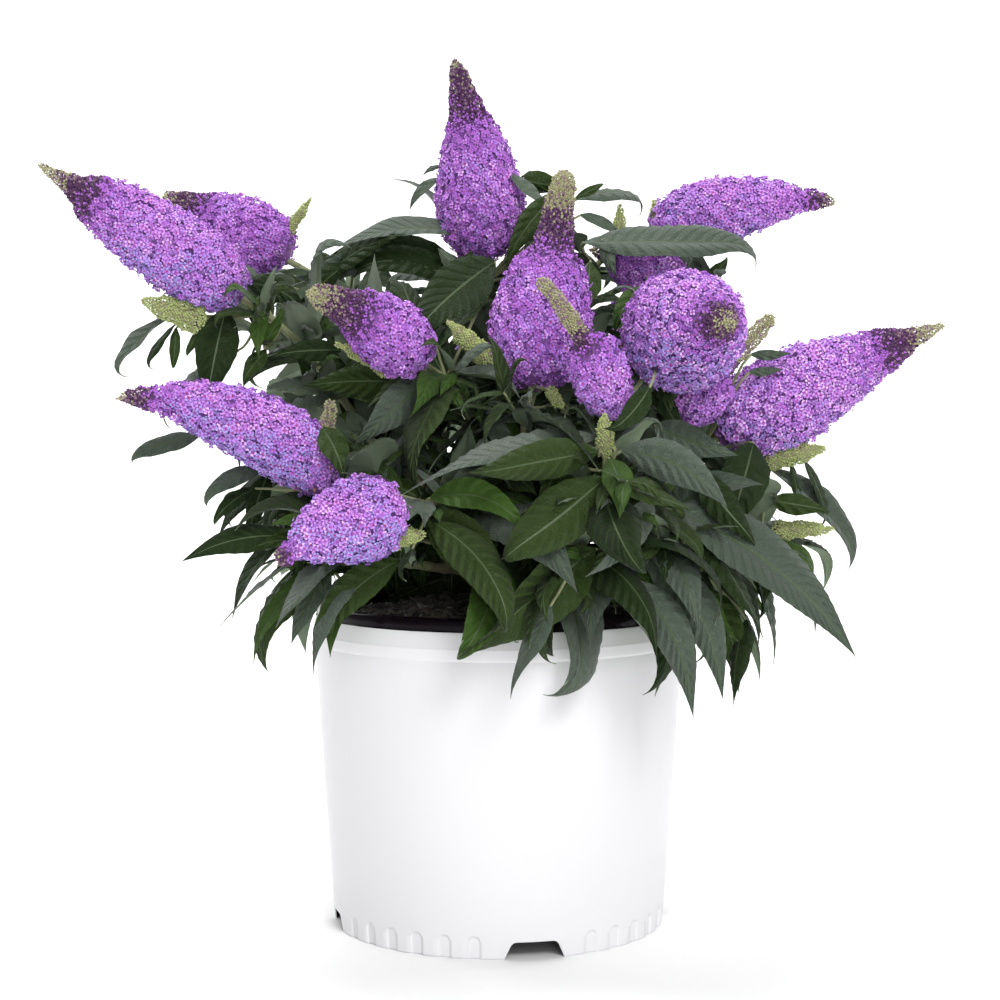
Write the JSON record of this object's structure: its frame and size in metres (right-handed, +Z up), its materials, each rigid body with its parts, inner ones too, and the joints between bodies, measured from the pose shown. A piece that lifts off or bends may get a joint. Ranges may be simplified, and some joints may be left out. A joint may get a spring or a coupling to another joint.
{
  "type": "potted butterfly bush",
  "caption": "Butterfly bush in a round plastic nursery pot, with arching leafy stems that end in cone-shaped lilac flower panicles.",
  "frame": {"origin": "centre of the pot's flat underside, where it stands", "axes": "+Z up the pot's axis, -Y to the front of the bush, +X to its right"},
  "size_m": [0.5611, 0.4527, 0.5635],
  "materials": {
    "pot_plastic": "satin white outside, near-black inside and on the rolled rim",
    "bark_mix": "loose, dark, slightly damp bark chips",
    "stem_bark": "matte, lightly ridged, green-brown",
    "leaves": "matte, quilted dark green above, felted pale grey-green below",
    "blossom": "matte, small lilac florets with red-orange eyes"
  },
  "bodies": {
    "root": {"pot": "pot_plastic", "potting_mix": "bark_mix", "stem_base": "stem_bark", "left_high_stem": "stem_bark", "left_high_foliage": "leaves", "left_high_panicle": "blossom", "left_back_stem": "stem_bark", "left_back_foliage": "leaves", "left_back_panicle": "blossom", "top_stem": "stem_bark", "top_foliage": "leaves", "top_panicle": "blossom", "centre_stem": "stem_bark", "centre_foliage": "leaves", "centre_panicle": "blossom", "front_right_stem": "stem_bark", "front_right_foliage": "leaves", "front_right_panicle": "blossom", "right_high_stem": "stem_bark", "right_high_foliage": "leaves", "right_high_panicle": "blossom", "back_mid_stem": "stem_bark", "back_mid_foliage": "leaves", "back_mid_panicle": "blossom", "right_low_stem": "stem_bark", "right_low_foliage": "leaves", "right_low_panicle": "blossom", "left_low_stem": "stem_bark", "left_low_foliage": "leaves", "left_low_panicle": "blossom", "front_left_stem": "stem_bark", "front_left_foliage": "leaves", "front_left_panicle": "blossom", "left_mid_stem": "stem_bark", "left_mid_foliage": "leaves", "left_mid_panicle": "blossom", "front_low_stem": "stem_bark", "front_low_foliage": "leaves", "right_skirt_stem": "stem_bark", "right_skirt_foliage": "leaves", "back_left_stem": "stem_bark", "back_left_foliage": "leaves", "back_left_panicle": "blossom", "back_centre_stem": "stem_bark", "back_centre_foliage": "leaves", "back_centre_panicle": "blossom", "back_right_stem": "stem_bark", "back_right_foliage": "leaves", "back_right_panicle": "blossom", "skirt_front_stem": "stem_bark", "skirt_front_foliage": "leaves", "skirt_right_stem": "stem_bark", "skirt_right_foliage": "leaves", "skirt_left_stem": "stem_bark", "skirt_left_foliage": "leaves", "skirt_back_left_stem": "stem_bark", "skirt_back_left_foliage": "leaves", "skirt_back_right_stem": "stem_bark", "skirt_back_right_foliage": "leaves"}
  },
  "joints": []
}
